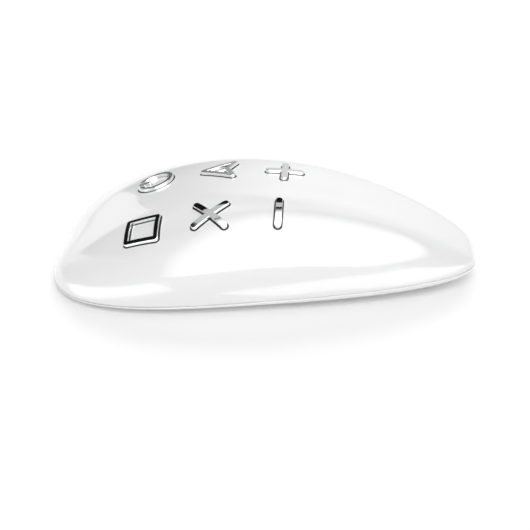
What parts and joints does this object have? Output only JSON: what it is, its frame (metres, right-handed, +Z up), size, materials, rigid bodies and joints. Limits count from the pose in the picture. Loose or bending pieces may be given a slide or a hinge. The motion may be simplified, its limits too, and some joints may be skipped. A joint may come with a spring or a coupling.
{
  "type": "vr motion controller",
  "caption": "Pebble-shaped handheld motion controller: two-part white housing with raised chrome symbol keys in two rows, each a sliding push key.",
  "frame": {"origin": "middle of the footprint on the resting plane", "axes": "+X along the length to the narrow tail, the blunt nose is at -X; +Y to the far long side; +Z up, away from the resting plane"},
  "size_m": [0.13, 0.0738, 0.0307],
  "materials": {
    "white": "gloss white moulded plastic with a clear coat",
    "under": "satin white moulded plastic",
    "chrome": "bright chrome plating",
    "steel": "bright steel",
    "black": "black moulded plastic",
    "grey": "grey moulded plastic",
    "rubber": "matte grey non-slip rubber",
    "board": "green solder mask",
    "ivory": "ivory moulded plastic",
    "amber": "amber polyimide film",
    "copper": "wound copper wire",
    "silver": "silver laminate pouch",
    "red": "red insulating sleeve"
  },
  "bodies": {
    "case": {"base_pad": "rubber", "battery_cell": "silver", "battery_lead": "red", "battery_plug": "ivory", "battery_tray": "grey", "board_screw_1": "steel", "board_screw_2": "steel", "board_screw_3": "steel", "board_screw_4": "steel", "carrier_screw_1": "steel", "carrier_screw_2": "steel", "carrier_screw_3": "steel", "carrier_screw_4": "steel", "case_screw_1": "steel", "case_screw_2": "steel", "case_screw_3": "steel", "case_screw_4": "steel", "charge_coil": "copper", "charge_controller_chip": "black", "ferrite_sheet": "black", "lower_shell": "under", "main_board": "board", "motion_sensor_chip": "black", "motor_can": "steel", "motor_cradle": "black", "ribbon_plug": "ivory", "shield_can": "steel", "switch_body_cross": "steel", "switch_body_minus": "steel", "switch_body_plus": "steel", "switch_body_pointer": "steel", "switch_body_power": "steel", "switch_body_square": "steel", "switch_carrier": "grey", "switch_ribbon": "amber", "upper_shell": "white"},
    "key_square": {"key_cap_square": "chrome", "key_plunger_square": "white", "switch_actuator_square": "black"},
    "key_power": {"key_cap_power": "chrome", "key_cap_power_bar": "chrome", "key_plunger_power": "white", "switch_actuator_power": "black"},
    "key_cross": {"key_cap_cross": "chrome", "key_plunger_cross": "white", "switch_actuator_cross": "black"},
    "key_pointer": {"key_cap_pointer": "chrome", "key_plunger_pointer": "white", "switch_actuator_pointer": "black"},
    "key_minus": {"key_cap_minus": "chrome", "key_plunger_minus": "white", "switch_actuator_minus": "black"},
    "key_plus": {"key_cap_plus": "chrome", "key_plunger_plus": "white", "switch_actuator_plus": "black"},
    "motor_rotor": {"motor_weight": "steel"}
  },
  "joints": [
    {"name": "key_square_press", "type": "slide", "parent": "case", "child": "key_square", "axis": [-0.3081, -0.2612, 0.9148], "range_m": [-0.0006, 0], "stiffness_N_per_m": 1000, "springref_m": 0.0005},
    {"name": "key_power_press", "type": "slide", "parent": "case", "child": "key_power", "axis": [-0.3361, 0.0334, 0.9412], "range_m": [-0.0006, 0], "stiffness_N_per_m": 1000, "springref_m": 0.0005},
    {"name": "key_cross_press", "type": "slide", "parent": "case", "child": "key_cross", "axis": [-0.1062, -0.3052, 0.9463], "range_m": [-0.0006, 0], "stiffness_N_per_m": 1000, "springref_m": 0.0005},
    {"name": "key_pointer_press", "type": "slide", "parent": "case", "child": "key_pointer", "axis": [-0.1418, 0.0364, 0.9892], "range_m": [-0.0006, 0], "stiffness_N_per_m": 1000, "springref_m": 0.0005},
    {"name": "key_minus_press", "type": "slide", "parent": "case", "child": "key_minus", "axis": [0.0837, -0.3458, 0.9346], "range_m": [-0.0006, 0], "stiffness_N_per_m": 1000, "springref_m": 0.0005},
    {"name": "key_plus_press", "type": "slide", "parent": "case", "child": "key_plus", "axis": [0.0617, 0.0366, 0.9974], "range_m": [-0.0006, 0], "stiffness_N_per_m": 1000, "springref_m": 0.0005},
    {"name": "motor_spin", "type": "hinge", "parent": "case", "child": "motor_rotor", "pos_m": [-0.049, 0, 0.006], "axis": [0, 1, 0], "continuous": true}
  ]
}
